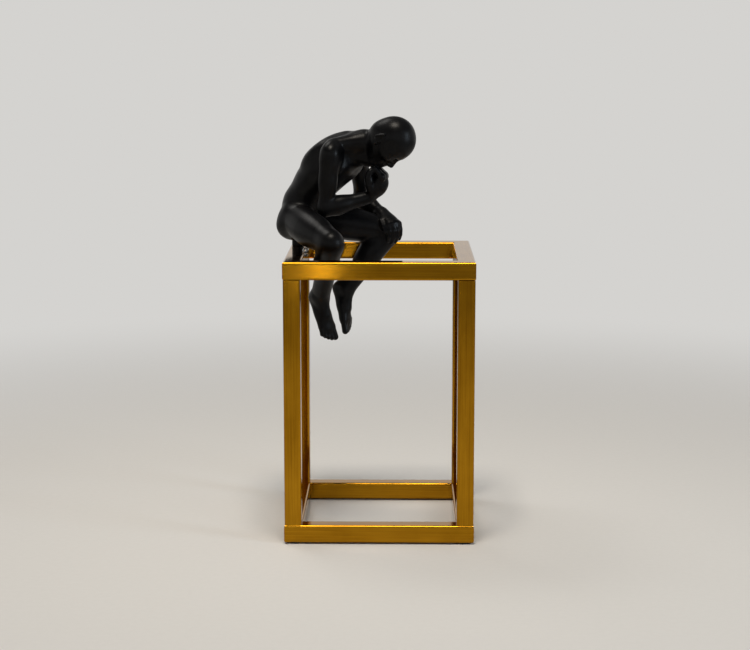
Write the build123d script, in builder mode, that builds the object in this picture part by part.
from build123d import *
import os
from math import cos, hypot, radians, sin

# Seated thinking figure in cast resin on an open frame of square tube.
# Millimetres, +Z up, +X to the right of the frame's front, +Y to its back.
# The origin is under the middle of the whole outline, on the surface that the pads stand on.

# Frame
frame_width = 106.0
frame_depth = 106.0
frame_height = 158.0
rail_size = 10.0
leg_size = 9.5
tube_wall = 1.0
rail_edge_radius = 1.2
leg_edge_radius = 1.2

# Pads under the bottom ring
pad_diameter = 8.0
pad_thickness = 0.8

# Place of the figure on the left rail
figure_overhang = 7.5
seat_place = 17.3
seat_rise = 5.2
facing_angle = -25.0

# Seat boss, insert and screw
boss_diameter = 6.6
boss_height = 12.0
boss_inset = 5.0
boss_place = 26.0
insert_diameter = 4.0
insert_length = 6.0
screw_diameter = 2.5
screw_length = 7.0
screw_head_diameter = 4.4
screw_head_height = 1.6
key_width = 2.0
key_depth = 0.9
washer_diameter = 5.4
washer_thickness = 0.5
thread_clearance = 0.05
hole_clearance = 0.15
access_clearance = 0.6

# Adhesive bead at the rail's inner edge
bead_length = 10.0
bead_thickness = 6.0
bead_height = 11.0
bead_place = 0.5
bead_lift = 3.4
bead_lead = 0.8

# Trunk
hip_depth = 24.0
hip_breadth = 36.6
waist_depth = 22.0
waist_breadth = 31.2
chest_depth = 28.0
chest_breadth = 37.2
neck_diameter = 15.0
trunk_reach = 41.8
trunk_rise = 62.8

# Head
head_bow = 68.0
head_lead = 17.2
head_lift = 1.4
head_height = 30.9
head_depth = 27.2
head_breadth = 23.4
nose_length = 6.4
nose_width = 4.4
nose_height = 3.0
ear_height = 6.6
ear_width = 4.2

# Legs
hip_spacing = 20.0
hip_height = 18.7
hip_lead = 2.8
thigh_length = 45.2
thigh_diameter = 19.0
knee_diameter = 15.0
shin_top_diameter = 13.4
shin_length = 39.0
calf_diameter = 14.2
ankle_diameter = 9.0
ankle_height = 5.0
heel_length = 2.0
right_heel_offset = 2.4
foot_length = 28.8
foot_width = 11.6
foot_height = 10.4

# Bearings in plan from +X and dips below level, in degrees
right_thigh_angles = (-60.6, 16.4)
right_shin_angles = (104.0, 43.5)
right_foot_angles = (-46.0, 62.0)
left_thigh_angles = (1.5, 13.6)
left_shin_angles = (195.5, 54.0)
left_foot_angles = (-50.0, 73.0)
left_hand_angles = (-60.0, 0.0)

# Arms
shoulder_spacing = 38.4
shoulder_diameter = 12.4
upper_arm_diameter = 9.4
elbow_diameter = 9.6
forearm_top_diameter = 8.6
forearm_diameter = 9.2
wrist_diameter = 6.6
elbow_lean = 36.0
left_elbow_lift = 9.3
left_elbow_setback = 15.5
left_elbow_spread = 16.6
left_wrist_lift = 4.1
left_wrist_setback = 1.4
left_wrist_spread = 3.2
fist_diameter = 11.6
fist_rise = 2.0
knuckle_diameter = 7.6
fist_lead = 5.2
fist_drop = 8.6
wrist_drop = 11.4
wrist_setback = 5.0
palm_width = 12.6
palm_thickness = 5.4
finger_diameter = 3.0
contact_depth = 0.4

# Spigots that join the castings
leg_spigot_diameter = 7.0
arm_spigot_diameter = 5.0
leg_spigot_length = 8.0
arm_spigot_length = 6.0
spigot_clearance = 0.1

# Trunk sections from the seat to the top of the neck: forward, rise, depth and breadth
trunk_shares = [
    (0.0, 0.083, 0.62, 0.68),
    (-0.01, 0.143, 0.92, 0.93),
    (0.0, 0.247, 1.0, 1.0),
    (0.072, 0.382, 1.03, 1.04),
    (0.182, 0.51, 1.0, 1.0),
    (0.33, 0.642, 0.89, 0.92),
    (0.493, 0.748, 1.0, 1.0),
    (0.677, 0.88, 0.95, 0.97),
    (0.844, 0.972, 0.66, 0.68),
    (1.0, 1.0, 1.0, 1.01),
    (1.19, 1.035, 0.96, 0.94),
]
trunk_tilts = [0, 4, 9, 20, 28, 37, 46, 58, 66, 68, 66]

# Limb outlines: place along the limb and half thickness
thigh_shares = [(0.3, 0.92), (0.65, 0.8)]
shin_shares = [(0.28, 1.0), (0.68, 0.72)]
upper_arm_shares = [(0.35, 1.04), (0.7, 0.98)]
forearm_shares = [(0.22, 1.04), (0.6, 0.88)]
round_shares = [(0.3, 0.954), (0.66, 0.751), (0.91, 0.415), (1.0, 0.0)]
hand_shares = [(0.2, 0.62), (0.6, 0.88)]
elbow_share = 0.5
elbow_girth_share = 0.86
shoulder_shares = (0.72, 0.9)

# Foot sections from heel to toes: place, half height, half width and drop towards the sole
foot_shares = [
    (0.0, 0.5, 0.42, 0.0),
    (0.08, 0.84, 0.7, 0.0),
    (0.26, 1.0, 0.84, 0.0),
    (0.48, 0.86, 0.9, 0.1),
    (0.72, 0.64, 1.0, 0.24),
    (0.9, 0.46, 0.92, 0.36),
    (1.0, 0.24, 0.62, 0.44),
]

# Head sections from chin to crown: height, half depth, half breadth and lead
head_shares = [
    (0.0, 0.18, 0.26, 0.48),
    (0.042, 0.34, 0.44, 0.44),
    (0.139, 0.54, 0.63, 0.29),
    (0.269, 0.765, 0.795, 0.1),
    (0.43, 0.926, 0.94, -0.03),
    (0.608, 0.993, 0.99, 0.0),
    (0.77, 0.879, 0.88, 0.0),
    (0.9, 0.635, 0.632, 0.0),
    (0.968, 0.375, 0.376, 0.0),
    (0.994, 0.17, 0.17, 0.0),
]
skull_share = 0.56

# Nose sections from bridge to base: drop, half width and height
nose_shares = [(0.0, 0.5, 0.3), (0.72, 0.9, 0.9), (1.0, 1.0, 0.5)]
nose_place_shares = (0.52, 0.86)

# Ear sections outwards from the skull: reach and size
ear_shares = [(0.6, 0.8), (1.0, 1.0), (1.07, 0.9)]
ear_place_shares = (0.46, -0.1)

# Finger bends over the knee, as angles above level, and finger places in widths
finger_bends = [58, 12, -24]
finger_shares = [-1.5, -0.5, 0.5, 1.5]

# Palm sections from wrist to knuckles: place, half width and half thickness
palm_shares = [(0.0, 0.5, 1.0), (0.5, 0.9, 1.05), (1.0, 1.0, 0.8)]

# Bead sections along the rail: place and size
bead_shares = [(-0.5, 0.3), (-0.3, 0.85), (0.0, 1.0), (0.3, 0.85), (0.5, 0.3)]

os.makedirs("parts", exist_ok=True)

# Levels and places in the part's frame
rail_top = pad_thickness + frame_height
frame_middle = Vector(figure_overhang / 2, 0, pad_thickness)
up = Vector(0, 0, 1)
facing = Vector(cos(radians(facing_angle)), sin(radians(facing_angle)), 0)
leftward = up.cross(facing)
seat_reach = hypot(hip_depth / 2 * facing.X, hip_breadth / 2 * facing.Y)
pelvis = Vector(frame_middle.X - frame_width / 2 - figure_overhang + seat_reach, seat_place, rail_top)


def body_point(forward, left, rise):
    """Point forward and left of the pelvis and up from the rail tops."""
    return pelvis + facing * forward + leftward * left + up * rise


def heading(angles):
    """Direction of a bearing in plan and a dip below level."""
    bearing, dip = angles
    level = cos(radians(dip))
    return Vector(level * cos(radians(bearing)), level * sin(radians(bearing)), -sin(radians(dip)))


def limb(start, end, first, last, waypoints, thickness):
    """Adds a limb: a loft through circles along the line between two joints, rounded at both ends."""
    path = end - start
    rings = [(-first / 2 * end_share, first / 2 * out_share) for out_share, end_share in round_shares]
    for place_share, girth_share in waypoints:
        rings.append((path.length * place_share, thickness / 2 * girth_share))
    for out_share, end_share in reversed(round_shares):
        rings.append((path.length + last / 2 * end_share, last / 2 * out_share))
    sections = []
    for place, radius in rings:
        middle = start + path.normalized() * place
        with BuildSketch(Plane(origin=middle, x_dir=path.cross(facing), z_dir=path)) as section:
            Circle(radius)
        sections.append(section.sketch)
    loft(sections)


def finger(points, diameter):
    """Adds a finger: a round rod along a smooth path, with a round tip."""
    with BuildLine() as path:
        Spline(*points)
    with BuildSketch(Plane(origin=path.line @ 0, z_dir=path.line % 0)) as section:
        Circle(diameter / 2)
    sweep(section.sketch, path=path.line)
    with Locations(path.line @ 1):
        Sphere(diameter / 2)


def spigot(root, direction, diameter, length):
    """Adds a round spigot from a root point along a direction, as long again inside the root."""
    with BuildSketch(Plane(origin=root - direction * length, z_dir=direction)) as profile:
        Circle(diameter / 2)
    extrude(profile.sketch, amount=length * 2)


# Joints of the figure
right_hip = body_point(hip_lead, -hip_spacing / 2, hip_height)
left_hip = body_point(hip_lead, hip_spacing / 2, hip_height)
right_knee = right_hip + heading(right_thigh_angles) * thigh_length
left_knee = left_hip + heading(left_thigh_angles) * thigh_length
right_ankle = right_knee + heading(right_shin_angles) * shin_length
left_ankle = left_knee + heading(left_shin_angles) * shin_length
shoulder_lead = trunk_reach * shoulder_shares[0]
shoulder_level = trunk_rise * shoulder_shares[1]
right_shoulder = body_point(shoulder_lead, -shoulder_spacing / 2, shoulder_level)
left_shoulder = body_point(shoulder_lead, shoulder_spacing / 2, shoulder_level)

# Head axes: crown points out of the top of the skull, gaze out of the face
skull = body_point(trunk_reach + head_lead, 0, trunk_rise + head_lift)
crown = facing * sin(radians(head_bow)) + up * cos(radians(head_bow))
gaze = facing * cos(radians(head_bow)) - up * sin(radians(head_bow))


def head_point(height_share, lead_share):
    """Point on the head's middle plane, by its share of the height from the chin and of the half depth."""
    return skull + crown * (head_height * (height_share - skull_share)) + gaze * (head_depth / 2 * lead_share)


chin = head_point(head_shares[0][0], head_shares[0][3])

# Right elbow stands on the thigh, and the fist holds the chin
elbow_seat = right_hip + heading(right_thigh_angles) * (thigh_length * elbow_share)
elbow_rest = thigh_diameter / 2 * elbow_girth_share + elbow_diameter / 2 - contact_depth
inward = up.cross(heading(right_thigh_angles)).normalized()
right_elbow = elbow_seat + (up * cos(radians(elbow_lean)) + inward * sin(radians(elbow_lean))) * elbow_rest
fist = chin + facing * fist_lead - up * fist_drop
right_wrist = fist - up * wrist_drop - facing * wrist_setback

# Left arm comes in from the side, and its hand lies over the front of the knee
left_thigh = heading(left_thigh_angles)
left_outward = up.cross(left_thigh).normalized()
knee_top = left_knee + up * (knee_diameter / 2)
left_wrist = knee_top - left_thigh * left_wrist_setback + left_outward * left_wrist_spread
left_wrist += up * left_wrist_lift
left_elbow = knee_top - left_thigh * left_elbow_setback + left_outward * left_elbow_spread
left_elbow += up * left_elbow_lift
knee_hold = knee_diameter / 2 + finger_diameter / 2 - contact_depth
hand_facing = heading(left_hand_angles)
hand_side = up.cross(hand_facing)


def knee_bend(angle):
    """Direction from the left knee's middle, the way the hand's back faces and up by an angle above level."""
    return hand_facing * cos(radians(angle)) + up * sin(radians(angle))


# Mitred rails of the top and bottom rings
half_width = frame_width / 2
half_depth = frame_depth / 2


def ring_corners(inset):
    """Corners of a rectangle inset from the frame's outline, from the front left round to the back left."""
    x = half_width - inset
    y = half_depth - inset
    return [(-x, -y), (x, -y), (x, y), (-x, y)]


def mitred_rail(side, level):
    """Adds one hollow rail of a ring, mitred at both ends, on a side counted from the front."""
    along = (side, (side + 1) % 4)
    corner_sets = [(ring_corners(0), ring_corners(rail_size))]
    corner_sets.append((ring_corners(tube_wall), ring_corners(rail_size - tube_wall)))
    base = Plane(origin=frame_middle + up * level)
    outer, inner = corner_sets[0]
    with BuildSketch(base) as bar:
        Polygon(outer[along[0]], outer[along[1]], inner[along[1]], inner[along[0]], align=None)
    extrude(bar.sketch, amount=rail_size)
    fillet(edges().filter_by(Axis.Y if side % 2 else Axis.X), rail_edge_radius)
    outer, inner = corner_sets[1]
    with BuildSketch(base.offset(tube_wall)) as bore:
        Polygon(outer[along[0]], outer[along[1]], inner[along[1]], inner[along[0]], align=None)
    extrude(bore.sketch, amount=rail_size - 2 * tube_wall, mode=Mode.SUBTRACT)


top_level = frame_height - rail_size
boss_axis = Vector(frame_middle.X - half_width + boss_inset, boss_place, rail_top)

with BuildPart() as top_front_rail:
    mitred_rail(0, top_level)
with BuildPart() as top_right_rail:
    mitred_rail(1, top_level)
with BuildPart() as top_back_rail:
    mitred_rail(2, top_level)
with BuildPart() as bottom_front_rail:
    mitred_rail(0, 0)
with BuildPart() as bottom_right_rail:
    mitred_rail(1, 0)
with BuildPart() as bottom_back_rail:
    mitred_rail(2, 0)
with BuildPart() as bottom_left_rail:
    mitred_rail(3, 0)

# The left top rail has the screw hole above and a wider hole for the driver below
with BuildPart() as top_left_rail:
    mitred_rail(3, top_level)
    with Locations(boss_axis - up * (tube_wall / 2)):
        Cylinder(screw_diameter / 2 + hole_clearance, tube_wall, mode=Mode.SUBTRACT)
    with Locations(boss_axis - up * (rail_size - tube_wall / 2)):
        Cylinder(washer_diameter / 2 + access_clearance, tube_wall, mode=Mode.SUBTRACT)

for name, rail in (
    ("top_front_rail", top_front_rail),
    ("top_right_rail", top_right_rail),
    ("top_back_rail", top_back_rail),
    ("top_left_rail", top_left_rail),
    ("bottom_front_rail", bottom_front_rail),
    ("bottom_right_rail", bottom_right_rail),
    ("bottom_back_rail", bottom_back_rail),
    ("bottom_left_rail", bottom_left_rail),
):
    rail.part.label = name
    export_step(rail.part, f"parts/{name}.step")

# Upright legs between the rings, and pads under the bottom corners
corner_names = ["front_left", "front_right", "back_right", "back_left"]
for name, (x, y) in zip(corner_names, ring_corners(rail_size / 2)):
    corner = frame_middle + Vector(x, y, 0)
    with BuildPart() as leg:
        with BuildSketch(Plane(origin=corner + up * rail_size)):
            RectangleRounded(leg_size, leg_size, leg_edge_radius)
            Rectangle(leg_size - 2 * tube_wall, leg_size - 2 * tube_wall, mode=Mode.SUBTRACT)
        extrude(amount=frame_height - 2 * rail_size)
    leg.part.label = f"leg_{name}"
    export_step(leg.part, f"parts/leg_{name}.step")
    with BuildPart() as pad:
        with BuildSketch(Plane(origin=corner)):
            Circle(pad_diameter / 2)
        extrude(amount=-pad_thickness)
    pad.part.label = f"pad_{name}"
    export_step(pad.part, f"parts/pad_{name}.step")

# Trunk form with its seat boss, before the sockets are cut
trunk_girths = 3 * [(hip_depth, hip_breadth)] + 2 * [(waist_depth, waist_breadth)]
trunk_girths += 4 * [(chest_depth, chest_breadth)] + 2 * [(neck_diameter, neck_diameter)]
with BuildPart() as trunk_form:
    for row, (depth, breadth), tilt in zip(trunk_shares, trunk_girths, trunk_tilts):
        forward_share, rise_share, depth_share, breadth_share = row
        rise = trunk_rise * rise_share
        if row is trunk_shares[0]:
            rise = seat_rise
        fore = facing * cos(radians(tilt)) - up * sin(radians(tilt))
        middle = body_point(trunk_reach * forward_share, 0, rise)
        with BuildSketch(Plane(origin=middle, x_dir=fore, z_dir=fore.cross(leftward))):
            Ellipse(depth / 2 * depth_share, breadth / 2 * breadth_share)
    loft()
    with BuildSketch(Plane(origin=boss_axis)):
        Circle(boss_diameter / 2)
    extrude(amount=boss_height)

# Ways that the limbs' spigots point into the trunk
right_leg_axis = (right_hip - right_knee).normalized()
left_leg_axis = (left_hip - left_knee).normalized()
right_arm_axis = leftward
left_arm_axis = leftward * -1

# Head: one smooth form from chin to crown with nose and ears, hollowed where the neck enters
with BuildPart() as head:
    for height_share, depth_share, breadth_share, lead_share in head_shares:
        with BuildSketch(Plane(origin=head_point(height_share, lead_share), x_dir=gaze, z_dir=crown)):
            Ellipse(head_depth / 2 * depth_share, head_breadth / 2 * breadth_share)
    loft()
    for drop_share, width_share, height_share in nose_shares:
        ridge = head_point(*nose_place_shares) - crown * (nose_length * drop_share)
        with BuildSketch(Plane(origin=ridge, x_dir=gaze, z_dir=crown)):
            Ellipse(nose_height * height_share, nose_width / 2 * width_share)
    loft()
    for hand in (-1, 1):
        for reach_share, size_share in ear_shares:
            lobe = head_point(*ear_place_shares) + leftward * (hand * head_breadth / 2 * reach_share)
            with BuildSketch(Plane(origin=lobe, x_dir=crown, z_dir=leftward * hand)):
                Ellipse(ear_height / 2 * size_share, ear_width / 2 * size_share)
        loft()
    add(trunk_form.part, mode=Mode.SUBTRACT)
head.part.label = "head"
export_step(head.part, "parts/head.step")


def leg_and_foot(hip, knee, ankle, angles, heel_offset):
    """Adds a whole leg: thigh, shin and a foot that hangs from the ankle, its heel set aside by an offset."""
    thigh_angles, shin_angles, foot_angles = angles
    limb(hip, knee, thigh_diameter, knee_diameter, thigh_shares, thigh_diameter)
    limb(knee, ankle, shin_top_diameter, ankle_diameter, shin_shares, calf_diameter)
    toeward = heading(foot_angles)
    hinge = heading(thigh_angles).cross(heading(shin_angles)).normalized()
    soleward = hinge.cross(toeward).normalized()
    across = toeward.cross(soleward)
    heel = ankle + soleward * ankle_height - toeward * heel_length + hinge * heel_offset
    sections = []
    for place_share, height_share, width_share, drop_share in foot_shares:
        middle = heel + toeward * (foot_length * place_share) + soleward * (foot_height / 2 * drop_share)
        with BuildSketch(Plane(origin=middle, x_dir=across, z_dir=toeward)) as section:
            Ellipse(foot_width / 2 * width_share, foot_height / 2 * height_share)
        sections.append(section.sketch)
    loft(sections)


right_angles = (right_thigh_angles, right_shin_angles, right_foot_angles)
left_angles = (left_thigh_angles, left_shin_angles, left_foot_angles)

with BuildPart() as right_leg:
    leg_and_foot(right_hip, right_knee, right_ankle, right_angles, -right_heel_offset)
    add(trunk_form.part, mode=Mode.SUBTRACT)
    spigot(right_hip, right_leg_axis, leg_spigot_diameter, leg_spigot_length)
right_leg.part.label = "right_leg"
export_step(right_leg.part, "parts/right_leg.step")

with BuildPart() as left_leg:
    leg_and_foot(left_hip, left_knee, left_ankle, left_angles, 0)
    add(trunk_form.part, mode=Mode.SUBTRACT)
    spigot(left_hip, left_leg_axis, leg_spigot_diameter, leg_spigot_length)
left_leg.part.label = "left_leg"
export_step(left_leg.part, "parts/left_leg.step")


def arm(shoulder, elbow, wrist):
    """Adds a whole arm from the shoulder to the wrist."""
    limb(shoulder, elbow, shoulder_diameter, elbow_diameter, upper_arm_shares, upper_arm_diameter)
    limb(elbow, wrist, forearm_top_diameter, wrist_diameter, forearm_shares, forearm_diameter)


# Right arm: the elbow stands on the thigh and the loose fist holds the chin
with BuildPart() as right_arm:
    arm(right_shoulder, right_elbow, right_wrist)
    limb(right_wrist, fist, palm_thickness, fist_diameter, hand_shares, fist_diameter)
    limb(fist, fist + up * fist_rise, palm_width - palm_thickness, knuckle_diameter, [], fist_diameter)
    add(trunk_form.part, mode=Mode.SUBTRACT)
    add(head.part, mode=Mode.SUBTRACT)
    add(right_leg.part, mode=Mode.SUBTRACT)
    spigot(right_shoulder, right_arm_axis, arm_spigot_diameter, arm_spigot_length)
right_arm.part.label = "right_arm"
export_step(right_arm.part, "parts/right_arm.step")

# Left arm: the forearm slopes down the thigh and the fingers lie over the knee
with BuildPart() as left_arm:
    arm(left_shoulder, left_elbow, left_wrist)
    knuckle = left_knee + knee_bend(finger_bends[0]) * knee_hold
    reach = knuckle - left_wrist
    for place_share, width_share, thickness_share in palm_shares:
        with BuildSketch(Plane(origin=left_wrist + reach * place_share, x_dir=hand_side, z_dir=reach)):
            Ellipse(palm_width / 2 * width_share, palm_thickness / 2 * thickness_share)
    loft()
    for finger_share in finger_shares:
        aside = hand_side * (finger_diameter * finger_share)
        finger([left_knee + aside + knee_bend(angle) * knee_hold for angle in finger_bends], finger_diameter)
    add(left_leg.part, mode=Mode.SUBTRACT)
    add(trunk_form.part, mode=Mode.SUBTRACT)
    spigot(left_shoulder, left_arm_axis, arm_spigot_diameter, arm_spigot_length)
left_arm.part.label = "left_arm"
export_step(left_arm.part, "parts/left_arm.step")

# Torso: the trunk form with sockets for the four limbs and the bore for the insert
with BuildPart() as torso:
    add(trunk_form.part)
    sockets = (
        (right_hip, right_leg_axis, leg_spigot_diameter, leg_spigot_length),
        (left_hip, left_leg_axis, leg_spigot_diameter, leg_spigot_length),
        (right_shoulder, right_arm_axis, arm_spigot_diameter, arm_spigot_length),
        (left_shoulder, left_arm_axis, arm_spigot_diameter, arm_spigot_length),
    )
    for root, direction, diameter, length in sockets:
        with BuildSketch(Plane(origin=root - direction * length, z_dir=direction)):
            Circle(diameter / 2 + spigot_clearance)
        extrude(amount=2 * length + spigot_clearance, mode=Mode.SUBTRACT)
    with BuildSketch(Plane(origin=boss_axis)):
        Circle(insert_diameter / 2)
    extrude(amount=insert_length, mode=Mode.SUBTRACT)
    with BuildSketch(Plane(origin=boss_axis)):
        Circle(screw_diameter / 2 + hole_clearance)
    extrude(amount=screw_length, mode=Mode.SUBTRACT)
torso.part.label = "torso"
export_step(torso.part, "parts/torso.step")

# Threaded insert in the boss
with BuildPart() as seat_insert:
    with BuildSketch(Plane(origin=boss_axis)):
        Circle(insert_diameter / 2)
        Circle(screw_diameter / 2 + thread_clearance, mode=Mode.SUBTRACT)
    extrude(amount=insert_length)
seat_insert.part.label = "seat_insert"
export_step(seat_insert.part, "parts/seat_insert.step")

# Washer and socket-head screw inside the rail, under its top wall
washer_level = boss_axis - up * (tube_wall + washer_thickness)
with BuildPart() as seat_washer:
    with BuildSketch(Plane(origin=washer_level)):
        Circle(washer_diameter / 2)
        Circle(screw_diameter / 2 + hole_clearance, mode=Mode.SUBTRACT)
    extrude(amount=washer_thickness)
seat_washer.part.label = "seat_washer"
export_step(seat_washer.part, "parts/seat_washer.step")

with BuildPart() as seat_screw:
    with BuildSketch(Plane(origin=washer_level)):
        Circle(screw_head_diameter / 2)
    extrude(amount=-screw_head_height)
    with BuildSketch(Plane(origin=washer_level)):
        Circle(screw_diameter / 2)
    extrude(amount=screw_length)
    with BuildSketch(Plane(origin=washer_level - up * screw_head_height)):
        RegularPolygon(key_width / 2, 6, major_radius=False)
    extrude(amount=key_depth, mode=Mode.SUBTRACT)
seat_screw.part.label = "seat_screw"
export_step(seat_screw.part, "parts/seat_screw.step")

# Clear adhesive between the rail's inner edge and the near thigh
bead_middle = Vector(frame_middle.X - half_width + rail_size + bead_lead, bead_place, rail_top + bead_lift)
with BuildPart() as seat_adhesive:
    for place_share, size_share in bead_shares:
        middle = bead_middle + Vector(0, bead_length * place_share, 0)
        with BuildSketch(Plane(origin=middle, x_dir=up, z_dir=(0, 1, 0))):
            Ellipse(bead_height / 2 * size_share, bead_thickness / 2 * size_share)
    loft()
    add(top_left_rail.part, mode=Mode.SUBTRACT)
    add(right_leg.part, mode=Mode.SUBTRACT)
    add(trunk_form.part, mode=Mode.SUBTRACT)
seat_adhesive.part.label = "seat_adhesive"
export_step(seat_adhesive.part, "parts/seat_adhesive.step")
